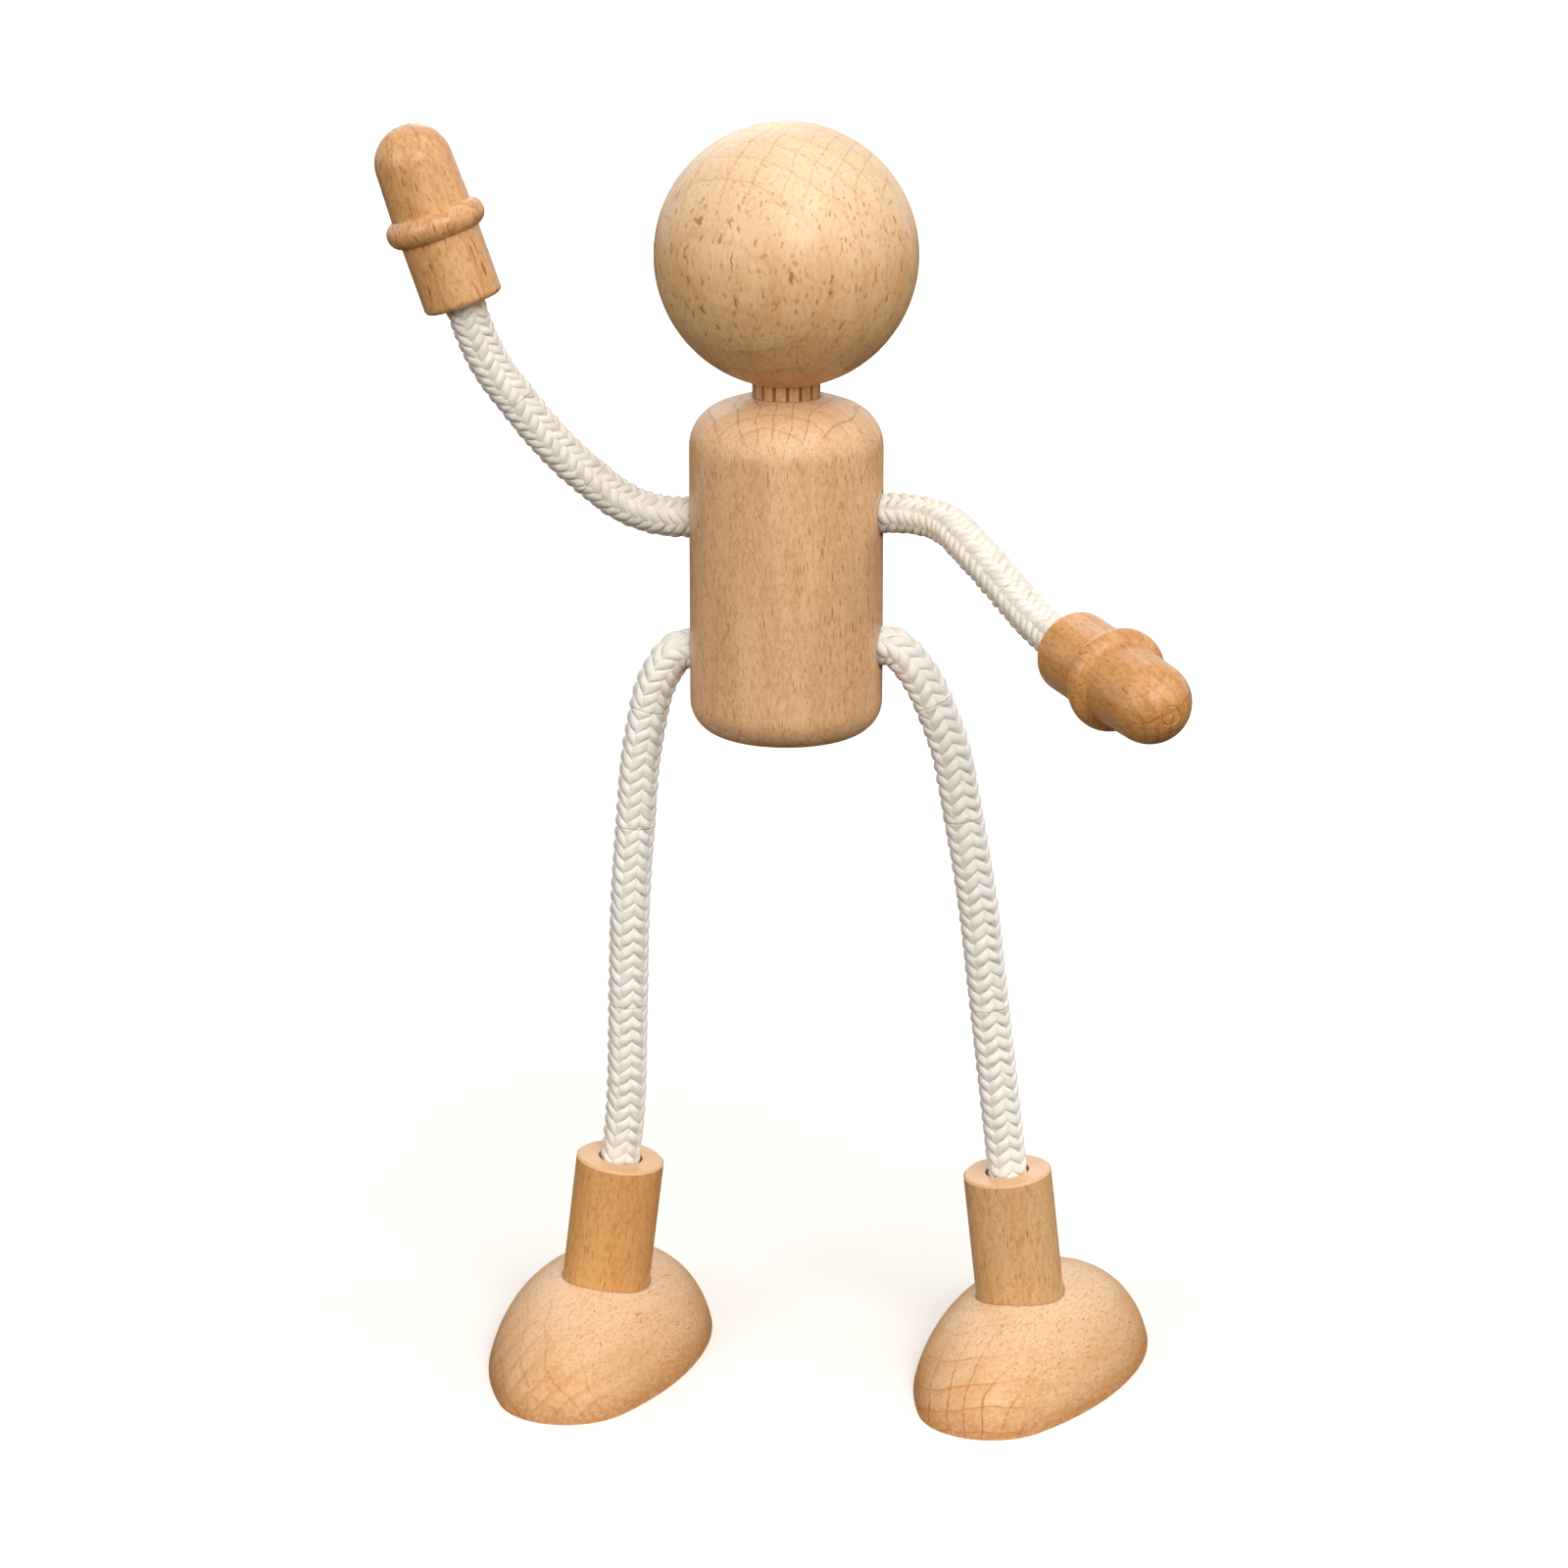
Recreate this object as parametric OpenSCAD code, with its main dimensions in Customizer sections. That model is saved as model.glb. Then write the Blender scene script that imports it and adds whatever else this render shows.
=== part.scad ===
// Wooden articulated figure with rope arms and legs.
// The figure stands on its two feet and faces -Y, so its own right hand is at -X.
// Millimetres, +Z up, z = 0 is the surface that both soles stand on.
// One rope runs through the body as both arms and a second one as both legs.
// Each rope is stiff enough to keep the curve it is bent to, and is cut here into
// the stretches between its bends, so that every bend can move on its own.

/* [Head and neck] */
// Diameter of the ball head
head_d = 50; // [44:1:58]
// Diameter of the fluted neck dowel
neck_d = 13; // [10:0.5:16]
// Gap between the top of the body and the ball, on the axis
neck_show = 1.2; // [1:0.1:6]
// Depth of the neck dowel in the head
neck_in_head = 14; // [8:1:18]
// Depth of the neck dowel in the body
neck_in_body = 13; // [8:1:16]
// Number of flutes round the neck dowel
neck_flutes = 16; // [10:1:20]
// Radius of one flute
flute_r = 0.35; // [0.2:0.05:0.45]

/* [Body] */
// Diameter of the turned body
body_d = 37; // [34:1:44]
// Height of the turned body, on its axis
body_h = 66.3; // [64:0.1:80]
// Rounding of the shoulder
shoulder_r = 8.6; // [6:0.2:10]
// Radius of the slightly domed top
crown_r = 36; // [28:1:80]
// Rounding of the lower edge
base_r = 6.5; // [3:0.5:8]
// Height of the arm hole above the lower end of the body
arm_hole_h = 42.5; // [38:0.5:44]
// Slope of the arm hole, the figure's left end up
arm_hole_tilt = 2.6; // [0:0.2:4]
// Height of the leg hole above the lower end of the body
leg_hole_h = 16.6; // [14:0.2:20]
// Slope of the leg hole, the figure's left end up
leg_hole_tilt = 2.6; // [0:0.2:4]

/* [Rope] */
// Diameter of the braided rope
rope_d = 8; // [6:0.5:9]
// Room between the rope and the wall of the hole it goes in
rope_gap = 0.4; // [0.2:0.1:0.6]

/* [Arms] */
// Straight rope between the body and the shoulder bend
arm_lead = 1.5; // [1:0.5:4]
// Length of the shoulder bend
shoulder_l = 16; // [14:1:20]
// Straight upper arm
upper_l = 6; // [4:0.5:12]
// Length of the elbow bend
elbow_l = 14; // [12:1:18]
// Straight forearm
fore_l = 7; // [4:0.5:12]
// Length of the wrist bend
wrist_l = 14; // [12:1:18]
// Straight rope between the wrist bend and the hand
arm_end_l = 4; // [2:0.5:8]

/* [Hands] */
// Length of a hand from its flat end to its tip
hand_l = 35.6; // [33:0.2:42]
// Diameter of the shaft at the flat end
hand_shaft_d = 15.4; // [14:0.2:17]
// Diameter over the ring bead
hand_ring_d = 19.4; // [18:0.2:22]
// Radius of the bead's round outline
hand_bead_r = 2.8; // [2:0.1:3.4]
// Height of the bead's middle above the flat end
hand_ring_h = 16.2; // [14:0.2:18]
// Diameter of the barrel where it leaves the bead
hand_barrel_d = 15.8; // [15:0.2:17]
// Diameter of the round tip
hand_tip_d = 15; // [13:0.2:15]
// Rounding of the edge at the flat end
hand_edge_r = 1.2; // [0.5:0.1:2]
// Depth of the rope in the hand
hand_hole_l = 14; // [10:1:20]
// Diameter of the turning mark on the tip
hand_mark_d = 3.6; // [2.4:0.2:5]

/* [Legs] */
// Height of the leg hole's axis above the floor
leg_hole_z = 147.6; // [142:0.2:170]
// Straight rope between the body and the turn that it leaves with
leg_lead = 0.3; // [0.3:0.1:2]
// Radius of that turn
hip_turn_r = 4.6; // [4.6:0.1:8]
// Length of the bend that lets a leg swing out
hip_bend_l = 10; // [8:1:14]
// Length of the bend that lets a leg swing forward
thigh_bend_l = 14; // [12:1:18]
// Length of the knee bend
knee_bend_l = 14; // [12:1:18]
// Length of the ankle bend
ankle_bend_l = 14; // [12:1:18]
// Straight rope below the bend at the hip
hip_l = 3; // [3:0.5:6]
// Straight thigh
thigh_l = 17; // [12:1:20]
// Straight rope between the ankle bend and the ankle dowel
leg_end_l = 4; // [2:0.5:8]

/* [Ankles and feet] */
// Diameter of the ankle dowel
ankle_d = 17.4; // [15:0.2:20]
// Length of the ankle dowel
ankle_l = 33.8; // [30:0.2:40]
// Depth of the rope in the ankle dowel
ankle_hole_l = 22; // [14:1:24]
// Chamfer at the ends of the ankle dowel
ankle_chamfer = 0.4; // [0.2:0.1:0.8]
// Height of the socket's floor above the sole
socket_z = 8; // [6:0.5:10]
// Length of the foot from its widest place to the toe
toe_l = 44.5; // [38:0.5:50]
// Length of the foot from its widest place to the heel
heel_l = 36.5; // [33:0.5:42]
// Width of the foot
foot_w = 43.6; // [38:0.2:48]
// Height of the foot
foot_h = 17.6; // [16:0.2:20]
// Radius of the toe seen from above
toe_r = 14.5; // [11:0.5:17]
// Radius of the heel seen from above
heel_r = 16; // [12:0.5:18]
// How far the dowel stands in front of the foot's widest place
ankle_front = 4.8; // [0:0.2:8]
// Room round each glued dowel
glue_gap = 0.05; // [0.02:0.01:0.1]

/* [Pose] */
// Right shoulder: how far the rope turns up
right_shoulder = 42; // [0:1:60]
// Right elbow: how far the rope turns up
right_elbow = 12.5; // [5:0.5:30]
// Right wrist: how far the rope turns up
right_wrist = 19; // [5:1:30]
// Left shoulder: how far the rope turns
left_shoulder = 62; // [10:1:70]
// Left shoulder: which way the rope turns, round its own line
left_shoulder_way = -74; // [-100:1:-60]
// Left elbow: how far the rope turns
left_elbow = 16; // [5:1:40]
// Left elbow: which way the rope turns, round its own line
left_elbow_way = 40; // [0:1:60]
// Left wrist: how far the rope turns
left_wrist = 20.5; // [5:0.5:40]
// Left wrist: which way the rope turns, round its own line
left_wrist_way = -160; // [-180:1:-130]
// Slope of the right leg where it has left the body, down from level
right_exit = 52; // [30:1:54]
// Slope of the left leg where it has left the body, down from level
left_exit = 46; // [30:1:54]
// Slope of the right hip, down from level
right_hip = 78; // [60:1:82]
// Slope of the left hip, down from level
left_hip = 67; // [60:1:74]
// Slope of the right thigh, down from level
right_thigh = 85.5; // [76:0.5:87]
// Slope of the left thigh, down from level
left_thigh = 80; // [75:0.5:83]
// Slope of the right shin, down from level
right_shin = 88.5; // [86:0.5:89]
// Slope of the left shin, down from level
left_shin = 83.5; // [83:0.5:88]
// Slope of the right ankle dowel, down from level
right_ankle = 83; // [82:0.1:84]
// Slope of the left ankle dowel, down from level
left_ankle = 83.8; // [83:0.1:84.5]
// How far the right leg swings back from upright
right_leg_back = 0.7; // [-2:0.1:4]
// How far the left leg swings back from upright
left_leg_back = 1.5; // [-2:0.1:4]
// Turn of the right foot towards the figure's right
right_toe_out = 4; // [0:1:20]
// Turn of the left foot towards the figure's right
left_toe_in = 13; // [0:1:20]
// Place of the body's axis from the middle of the whole figure, left to right
body_x = -1.1; // [-10:0.1:10]
// Place of the body's axis from the middle of the whole figure, front to back
body_y = 14.7; // [10:0.1:30]

/* [Hidden] */
$fn = 96;
eps = 0.01;
hair = 0.005;

// Sides of the figure: its own right is at -X, its own left at +X
RIGHT = -1;
LEFT = 1;

// Colours
HEAD_WOOD = "#e8c08c";
BODY_WOOD = "#dba979";
HAND_WOOD = "#d9a05c";
ANKLE_WOOD = "#d8a25e";
FOOT_WOOD = "#edcda3";
ROPE = "#f1ece1";

// Heights above the floor
body_z = leg_hole_z - leg_hole_h;
arm_hole_z = body_z + arm_hole_h;
body_top = body_z + body_h;
head_z = body_top + neck_show + head_d / 2;
rope_hole_d = rope_d + 2 * rope_gap;
half = body_d / 2;

// Drop and sideways run of a rope bend of length l that turns from slope a to slope b
function bend_drop(a, b, l) =
    a == b ? l * sin(a) : l / ((b - a) * PI / 180) * (cos(a) - cos(b));
function bend_run(a, b, l) =
    a == b ? l * cos(a) : l / ((b - a) * PI / 180) * (sin(b) - sin(a));

// Height of the middle of a hole's mouth, and its distance from the body's axis
function mouth_z(side, z, tilt) = z + side * half * sin(tilt);
function mouth_x(tilt) = half * cos(tilt);

// The slopes of a leg, from the hole in the body to its ankle dowel
function slopes(side) = side == RIGHT
    ? [leg_hole_tilt, right_exit, right_hip, right_thigh, right_shin, right_ankle]
    : [-leg_hole_tilt, left_exit, left_hip, left_thigh, left_shin, left_ankle];
function exit_l(s) = hip_turn_r * (s[1] - s[0]) * PI / 180;

// Drop and run of a leg and its ankle dowel, all but the shin
function leg_drop(s) = leg_lead * sin(s[0])
    + bend_drop(s[0], s[1], exit_l(s)) + bend_drop(s[1], s[2], hip_bend_l)
    + hip_l * sin(s[2]) + bend_drop(s[2], s[3], thigh_bend_l) + thigh_l * sin(s[3])
    + bend_drop(s[3], s[4], knee_bend_l) + bend_drop(s[4], s[5], ankle_bend_l)
    + (leg_end_l + ankle_l) * sin(s[5]);
function leg_run(s) = leg_lead * cos(s[0])
    + bend_run(s[0], s[1], exit_l(s)) + bend_run(s[1], s[2], hip_bend_l)
    + hip_l * cos(s[2]) + bend_run(s[2], s[3], thigh_bend_l) + thigh_l * cos(s[3])
    + bend_run(s[3], s[4], knee_bend_l) + bend_run(s[4], s[5], ankle_bend_l)
    + (leg_end_l + ankle_l) * cos(s[5]);
// The whole leg swings back a little about the axis of its hole. A step that runs out by
// run and drops by drop becomes a step outwards, back and up.
function leg_back(side) = side == RIGHT ? right_leg_back : left_leg_back;
function swung(side, run, drop) =
    let(t = side * leg_hole_tilt,
        along = run * cos(t) - drop * sin(t),
        down = run * sin(t) + drop * cos(t))
    [along * cos(t) + down * sin(t) * cos(leg_back(side)),
        down * sin(leg_back(side)),
        along * sin(t) - down * cos(t) * cos(leg_back(side))];
// The shin takes up what is left, so that the dowel ends on the floor of its socket
function shin_l(side) = let(s = slopes(side))
    (socket_z - mouth_z(side, leg_hole_z, leg_hole_tilt)
    - swung(side, leg_run(s), leg_drop(s))[2]) / swung(side, cos(s[4]), sin(s[4]))[2];
// Where the axis of the ankle dowel meets the floor, from the body's axis
function foot_place(side) =
    let(s = slopes(side),
        l = shin_l(side),
        left_over = -socket_z / swung(side, cos(s[5]), sin(s[5]))[2],
        step = swung(side, leg_run(s) + l * cos(s[4]) + left_over * cos(s[5]),
            leg_drop(s) + l * sin(s[4]) + left_over * sin(s[5])))
    [side * (mouth_x(leg_hole_tilt) + step[0]), step[1], 0];

// A limb is a list of stretches of rope, each with the direction it turns in, the angle
// that it turns by and its length along the middle of the rope
arm_right = [
    [0, 0, arm_lead],
    [180, right_shoulder, shoulder_l],
    [0, 0, upper_l],
    [180, right_elbow, elbow_l],
    [0, 0, fore_l],
    [180, right_wrist, wrist_l],
    [0, 0, arm_end_l]
];
arm_left = [
    [0, 0, arm_lead],
    [left_shoulder_way, left_shoulder, shoulder_l],
    [0, 0, upper_l],
    [left_elbow_way, left_elbow, elbow_l],
    [0, 0, fore_l],
    [left_wrist_way, left_wrist, wrist_l],
    [0, 0, arm_end_l]
];
function turn(a, b, l) = [b < a ? 180 : 0, abs(b - a), l];
function leg(side) = let(s = slopes(side)) [
    [0, 0, leg_lead],
    turn(s[0], s[1], exit_l(s)),
    turn(s[1], s[2], hip_bend_l),
    [0, 0, hip_l],
    turn(s[2], s[3], thigh_bend_l),
    [0, 0, thigh_l],
    turn(s[3], s[4], knee_bend_l),
    [0, 0, shin_l(side)],
    turn(s[4], s[5], ankle_bend_l),
    [0, 0, leg_end_l]
];

function bend_radius(s) = s[2] / (s[1] * PI / 180);

// Moves its children past one stretch of rope
module past(s) {
    if (s[1] == 0)
        translate([0, 0, s[2]]) children();
    else
        rotate([0, 0, s[0]])
            translate([bend_radius(s), 0, 0])
                rotate([0, s[1], 0])
                    translate([-bend_radius(s), 0, 0])
                        rotate([0, 0, -s[0]]) children();
}

// Moves its children to the start of stretch n of a limb
module walk(limb, n, i = 0) {
    if (i >= n)
        children();
    else
        past(limb[i]) walk(limb, n, i + 1) children();
}

// One stretch of rope, straight or turned through an arc
module rope(s) {
    if (s[1] == 0)
        cylinder(d = rope_d, h = s[2]);
    else
        rotate([0, 0, s[0]])
            translate([bend_radius(s), 0, 0])
                rotate([90, 0, 180])
                    rotate_extrude(angle = s[1])
                        translate([bend_radius(s), 0]) circle(d = rope_d);
}

// The frame at the side of the body: z points out of the hole and x points down
module at_side(side, z, tilt) {
    translate([body_x, body_y, z])
        rotate([0, -tilt, 0])
            translate([side * half, 0, 0])
                rotate([0, 90, side == LEFT ? 0 : 180]) children();
}
module on_arm(side, n) {
    at_side(side, arm_hole_z, arm_hole_tilt)
        walk(side == RIGHT ? arm_right : arm_left, n) children();
}
module on_leg(side, n) {
    at_side(side, leg_hole_z, leg_hole_tilt)
        rotate([0, 0, side * leg_back(side)]) walk(leg(side), n) children();
}
module arm_stretch(side, n) {
    on_arm(side, n) rope(side == RIGHT ? arm_right[n] : arm_left[n]);
}
module leg_stretch(side, n) {
    on_leg(side, n) rope(leg(side)[n]);
}

// Head: a plain turned ball with a blind hole for the neck
module head() {
    color(HEAD_WOOD)
        difference() {
            translate([body_x, body_y, head_z]) sphere(d = head_d);
            translate([body_x, body_y, body_top])
                cylinder(d = neck_d + 2 * glue_gap, h = neck_show + neck_in_head);
        }
}

// Neck: a fluted dowel glued into the head and the body
module neck() {
    neck_l = neck_in_body + neck_show + neck_in_head;
    color(BODY_WOOD)
        translate([body_x, body_y, body_top - neck_in_body])
            difference() {
                cylinder(d = neck_d, h = neck_l);
                for (i = [0 : neck_flutes - 1])
                    rotate([0, 0, (i + 0.4) * 360 / neck_flutes])
                        translate([neck_d / 2, 0, -eps])
                            cylinder(r = flute_r, h = neck_l + 2 * eps, $fn = 24);
            }
}

// Quarter of a disc, for an outline's rounded corner
module quarter(r) {
    intersection() {
        circle(r = r);
        square([r, r]);
    }
}

// Outline of the body on one side of its axis: straight sides, a shoulder arc that runs
// into the domed top, and a smaller rounding below. The shoulder stands a hair out of the
// dome, so that the two arcs cross instead of only touching.
module body_outline() {
    c = half - shoulder_r;
    d = crown_r - shoulder_r + hair;
    rise = sqrt(d * d - c * c);
    crown_z = body_h - crown_r;
    shoulder_z = crown_z + rise;
    square([half - base_r, base_r + eps]);
    translate([half - base_r, base_r]) mirror([0, 1]) quarter(base_r);
    translate([0, base_r]) square([half, shoulder_z - base_r]);
    translate([c, shoulder_z]) quarter(shoulder_r);
    intersection() {
        translate([0, crown_z]) circle(r = crown_r, $fn = 200);
        translate([0, shoulder_z - 1]) square([crown_r * c / d, body_h]);
    }
}

// Body: turned, with one hole across for the arms, one for the legs and one for the neck
module body() {
    color(BODY_WOOD)
        translate([body_x, body_y, body_z])
            difference() {
                rotate_extrude() body_outline();
                translate([0, 0, body_h - neck_in_body])
                    cylinder(d = neck_d + 2 * glue_gap, h = neck_in_body + eps);
                cross_hole(arm_hole_h, arm_hole_tilt);
                cross_hole(leg_hole_h, leg_hole_tilt);
            }
}
module cross_hole(h, tilt) {
    translate([0, 0, h])
        rotate([0, 90 - tilt, 0])
            translate([0, 0, -half - 2]) cylinder(d = rope_hole_d, h = body_d + 4);
}

// The rope inside the body, with the short straight lead that leaves it on each side
module rope_core(z, tilt, lead) {
    color(ROPE)
        translate([body_x, body_y, z])
            rotate([0, 90 - tilt, 0])
                translate([0, 0, -half - lead])
                    cylinder(d = rope_d, h = body_d + 2 * lead);
}
module arm_rope_core() { rope_core(arm_hole_z, arm_hole_tilt, arm_lead); }
module leg_rope_core() { rope_core(leg_hole_z, leg_hole_tilt, leg_lead); }

// The last straight stretch goes on into the hand
module arm_end(side) {
    color(ROPE)
        on_arm(side, 6) cylinder(d = rope_d, h = arm_end_l + hand_hole_l);
}

// Outline of a blind hole for the rope, to be cut out of a turned outline
module rope_hole_outline(depth) {
    translate([-eps, -eps]) square([rope_hole_d / 2 + eps, depth + eps]);
}

// Outline of a hand on one side of its axis, from its flat end up
module hand_outline() {
    shaft = hand_shaft_d / 2;
    barrel = hand_barrel_d / 2;
    tip = hand_tip_d / 2;
    tip_y = hand_l - tip;
    square([shaft - hand_edge_r, hand_ring_h]);
    translate([0, hand_edge_r]) square([shaft, hand_ring_h - hand_edge_r]);
    translate([shaft - hand_edge_r, hand_edge_r]) mirror([0, 1]) quarter(hand_edge_r);
    translate([hand_ring_d / 2 - hand_bead_r, hand_ring_h]) circle(r = hand_bead_r);
    polygon([[0, hand_ring_h], [barrel, hand_ring_h], [tip, tip_y], [0, tip_y]]);
    translate([0, tip_y]) quarter(tip);
}
// The fine groove that the turning leaves round the middle of the tip
module hand_groove() {
    mark = hand_mark_d / 2;
    tip = hand_tip_d / 2;
    translate([mark, hand_l - tip + sqrt(tip * tip - mark * mark)]) circle(r = 0.25);
}

// Hand: turned shaft, ring bead and round-ended barrel, with a blind hole for the rope
module hand() {
    color(HAND_WOOD)
        rotate_extrude()
            difference() {
                hand_outline();
                hand_groove();
                rope_hole_outline(hand_hole_l);
            }
}

// The last straight stretch goes on into the ankle dowel
module leg_end(side) {
    color(ROPE)
        on_leg(side, 9) cylinder(d = rope_d, h = leg_end_l + ankle_hole_l);
}

// Ankle: a drilled dowel with a light chamfer at both ends
module ankle(side) {
    c = ankle_chamfer;
    r = ankle_d / 2;
    color(ANKLE_WOOD)
        on_leg(side, 10)
            rotate_extrude()
                difference() {
                    polygon([[0, 0], [r - c, 0], [r, c], [r, ankle_l - c], [r - c, ankle_l],
                        [0, ankle_l]]);
                    rope_hole_outline(ankle_hole_l);
                }
}

// Half of a foot's plan on one side of its long axis, from its widest place to one end.
// The round end stands a hair out of the long side arc, so that the two arcs cross.
module foot_half(l, w, r) {
    y = l - r;
    inner_r = r - hair;
    side_r = (w * w + y * y - inner_r * inner_r) / (2 * (w - inner_r));
    reach = side_r * y / (side_r - inner_r);
    intersection() {
        translate([w - side_r, 0]) circle(r = side_r, $fn = 200);
        square([w + 1, reach]);
    }
    intersection() {
        translate([0, y]) circle(r = r);
        square([w, l + 1]);
    }
}

// Foot: a turned egg cut along its length, flat side down, with a socket for the dowel.
// The toe points to -Y before the foot is turned.
module foot(side) {
    w = foot_w / 2;
    toe_turn = side == RIGHT ? right_toe_out : left_toe_in;
    color(FOOT_WOOD)
        difference() {
            translate(foot_place(side) + [body_x, body_y, 0])
                rotate([0, 0, -toe_turn]) translate([0, ankle_front, 0])
                    intersection() {
                        translate([0, 0, foot_h - w])
                            rotate([90, 0, 0])
                                rotate_extrude() {
                                    foot_half(toe_l, w, toe_r);
                                    mirror([0, 1]) foot_half(heel_l, w, heel_r);
                                }
                        translate([-w - 1, -toe_l - 1, 0])
                            cube([foot_w + 2, toe_l + heel_l + 2, foot_h + 1]);
                    }
            on_leg(side, 10) cylinder(d = ankle_d + 2 * glue_gap, h = ankle_l);
        }
}

module arm_right_shoulder_bend() { color(ROPE) arm_stretch(RIGHT, 1); }
module arm_right_upper() { color(ROPE) arm_stretch(RIGHT, 2); }
module arm_right_elbow_bend() { color(ROPE) arm_stretch(RIGHT, 3); }
module arm_right_fore() { color(ROPE) arm_stretch(RIGHT, 4); }
module arm_right_wrist_bend() { color(ROPE) arm_stretch(RIGHT, 5); }
module arm_right_end() { arm_end(RIGHT); }
module hand_right() { on_arm(RIGHT, 7) hand(); }

module arm_left_shoulder_bend() { color(ROPE) arm_stretch(LEFT, 1); }
module arm_left_upper() { color(ROPE) arm_stretch(LEFT, 2); }
module arm_left_elbow_bend() { color(ROPE) arm_stretch(LEFT, 3); }
module arm_left_fore() { color(ROPE) arm_stretch(LEFT, 4); }
module arm_left_wrist_bend() { color(ROPE) arm_stretch(LEFT, 5); }
module arm_left_end() { arm_end(LEFT); }
module hand_left() { on_arm(LEFT, 7) hand(); }

module leg_right_exit() { color(ROPE) leg_stretch(RIGHT, 1); }
module leg_right_hip_bend() { color(ROPE) leg_stretch(RIGHT, 2); }
module leg_right_hip() { color(ROPE) leg_stretch(RIGHT, 3); }
module leg_right_thigh_bend() { color(ROPE) leg_stretch(RIGHT, 4); }
module leg_right_thigh() { color(ROPE) leg_stretch(RIGHT, 5); }
module leg_right_knee_bend() { color(ROPE) leg_stretch(RIGHT, 6); }
module leg_right_shin() { color(ROPE) leg_stretch(RIGHT, 7); }
module leg_right_ankle_bend() { color(ROPE) leg_stretch(RIGHT, 8); }
module leg_right_end() { leg_end(RIGHT); }
module ankle_right() { ankle(RIGHT); }
module foot_right() { foot(RIGHT); }

module leg_left_exit() { color(ROPE) leg_stretch(LEFT, 1); }
module leg_left_hip_bend() { color(ROPE) leg_stretch(LEFT, 2); }
module leg_left_hip() { color(ROPE) leg_stretch(LEFT, 3); }
module leg_left_thigh_bend() { color(ROPE) leg_stretch(LEFT, 4); }
module leg_left_thigh() { color(ROPE) leg_stretch(LEFT, 5); }
module leg_left_knee_bend() { color(ROPE) leg_stretch(LEFT, 6); }
module leg_left_shin() { color(ROPE) leg_stretch(LEFT, 7); }
module leg_left_ankle_bend() { color(ROPE) leg_stretch(LEFT, 8); }
module leg_left_end() { leg_end(LEFT); }
module ankle_left() { ankle(LEFT); }
module foot_left() { foot(LEFT); }

head();
neck();
body();
arm_rope_core();
leg_rope_core();
arm_right_shoulder_bend();
arm_right_upper();
arm_right_elbow_bend();
arm_right_fore();
arm_right_wrist_bend();
arm_right_end();
hand_right();
arm_left_shoulder_bend();
arm_left_upper();
arm_left_elbow_bend();
arm_left_fore();
arm_left_wrist_bend();
arm_left_end();
hand_left();
leg_right_exit();
leg_right_hip_bend();
leg_right_hip();
leg_right_thigh_bend();
leg_right_thigh();
leg_right_knee_bend();
leg_right_shin();
leg_right_ankle_bend();
leg_right_end();
ankle_right();
foot_right();
leg_left_exit();
leg_left_hip_bend();
leg_left_hip();
leg_left_thigh_bend();
leg_left_thigh();
leg_left_knee_bend();
leg_left_shin();
leg_left_ankle_bend();
leg_left_end();
ankle_left();
foot_left();
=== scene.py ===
# %% [markdown]
# # A wooden figure with rope arms and legs
# The figure is turned from beech, a pale wood with short dark flecks. Two braided cotton
# ropes go across through the body and come out as the arms and the legs. The solids come
# from the CAD frame: the wood keeps them and gets its finish here, and each plain round
# rope is replaced by one that is braided strand by strand.

# %% Load the frame
import math

import bmesh
import bpy
import numpy as np
from mathutils import Matrix, Vector


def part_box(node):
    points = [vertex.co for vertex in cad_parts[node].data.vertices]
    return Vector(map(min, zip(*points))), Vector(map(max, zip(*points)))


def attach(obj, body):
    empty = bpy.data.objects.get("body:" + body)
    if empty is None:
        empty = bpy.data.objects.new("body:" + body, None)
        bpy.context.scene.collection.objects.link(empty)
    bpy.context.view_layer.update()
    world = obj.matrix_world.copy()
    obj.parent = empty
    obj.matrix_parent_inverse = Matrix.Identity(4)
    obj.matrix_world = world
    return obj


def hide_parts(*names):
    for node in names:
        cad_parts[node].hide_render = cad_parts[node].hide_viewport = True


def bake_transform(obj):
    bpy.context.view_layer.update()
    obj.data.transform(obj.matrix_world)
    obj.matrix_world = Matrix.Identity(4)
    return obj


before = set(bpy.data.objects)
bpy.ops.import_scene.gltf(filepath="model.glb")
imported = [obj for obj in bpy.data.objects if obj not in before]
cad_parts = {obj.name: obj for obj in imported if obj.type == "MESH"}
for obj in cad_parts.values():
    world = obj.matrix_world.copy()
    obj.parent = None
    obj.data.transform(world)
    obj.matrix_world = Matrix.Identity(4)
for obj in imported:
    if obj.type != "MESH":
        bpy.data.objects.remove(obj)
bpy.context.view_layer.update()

MM = 0.001
low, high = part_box("body")
AXIS_X = (low.x + high.x) / 2
AXIS_Y = (low.y + high.y) / 2
BODY_R = (high.y - low.y) / 2
BODY_TOP = high.z
print("body axis", round(AXIS_X, 4), round(AXIS_Y, 4), "radius", round(BODY_R, 4))

# %% [markdown]
# The photograph looks at the figure a little from its left and from above, through a long
# lens: the tops of the feet and of the ankle dowels show, and upright lines stay upright.

# %% Camera
VIEW_TURN = 7.0
VIEW_DOWN = 16.0
VIEW_FAR = 0.94822
LENS = 112.5
AIM_SIDE = -0.000438
AIM_Z = 0.120166


def camera_at(turn, down, far, aim):
    """A camera that looks at aim from the given turn and height angle."""
    a = math.radians(turn)
    e = math.radians(down)
    back = Vector((math.sin(a) * math.cos(e), -math.cos(a) * math.cos(e), math.sin(e)))
    data = bpy.data.cameras.new("camera")
    camera = bpy.data.objects.new("camera", data)
    bpy.context.scene.collection.objects.link(camera)
    camera.location = aim + far * back
    camera.rotation_euler = back.to_track_quat("Z", "Y").to_euler()
    data.lens = LENS
    data.sensor_width = 36.0
    data.clip_start = 0.05
    return camera


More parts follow.
